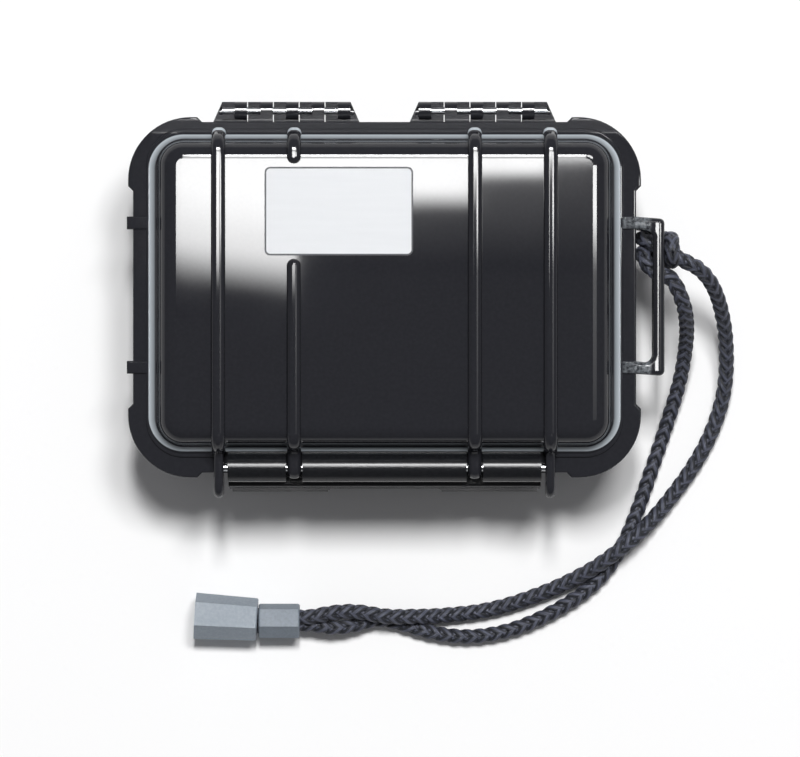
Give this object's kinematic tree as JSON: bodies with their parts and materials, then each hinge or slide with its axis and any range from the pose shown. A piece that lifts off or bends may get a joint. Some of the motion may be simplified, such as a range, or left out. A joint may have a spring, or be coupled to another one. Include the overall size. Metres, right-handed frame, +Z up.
{
  "type": "small hard case",
  "caption": "Small ribbed hard case with a hinged lid, a full width snap latch, a rubber lined base and a doubled wrist cord on a strap bar.",
  "frame": {"origin": "middle of the underside of the base, on the surface that the case stands on", "axes": "+X along the case towards the strap bars, +Y towards the hinges, +Z up"},
  "size_m": [0.1853, 0.1661, 0.0538],
  "materials": {
    "shell_plastic": "glossy black moulded polycarbonate",
    "latch_plastic": "glossy black moulded plastic",
    "liner_rubber": "matt black moulded rubber",
    "pin_steel": "drawn stainless wire",
    "label_silver": "satin silver plate with a dark printed edge, left bare",
    "valve_plastic": "matt dark plastic",
    "seal_rubber": "soft black seal rubber",
    "cord_braid": "braided navy black polyester cord",
    "cord_end_plastic": "grey blue moulded plastic with a soft sheen"
  },
  "bodies": {
    "base": {"base_shell": "shell_plastic", "base_liner": "liner_rubber", "hinge_pin_left": "pin_steel", "hinge_pin_right": "pin_steel", "valve_body": "valve_plastic", "valve_membrane": "seal_rubber", "valve_cap": "valve_plastic", "valve_o_ring": "seal_rubber", "valve_nut": "valve_plastic", "cord_hitch": "cord_braid", "cord_strand_outer": "cord_braid", "cord_strand_inner": "cord_braid", "cord_knot": "cord_braid", "cord_end_knob": "cord_end_plastic"},
    "lid": {"lid_shell": "shell_plastic", "lid_label": "label_silver", "latch_pin": "pin_steel"},
    "latch": {"latch": "latch_plastic"},
    "cord_slider": {"cord_slider": "cord_end_plastic"}
  },
  "joints": [
    {"name": "lid_hinge", "type": "hinge", "parent": "base", "child": "lid", "pos_m": [0, 0.0555, 0.0373], "axis": [-1, 0, 0], "range_deg": [0, 175]},
    {"name": "latch_hinge", "type": "hinge", "parent": "lid", "child": "latch", "pos_m": [0, -0.053, 0.04195], "axis": [-1, 0, 0], "range_deg": [0, 160]},
    {"name": "slider_travel", "type": "slide", "parent": "base", "child": "cord_slider", "axis": [1, 0, 0], "range_m": [0, 0.008]}
  ]
}
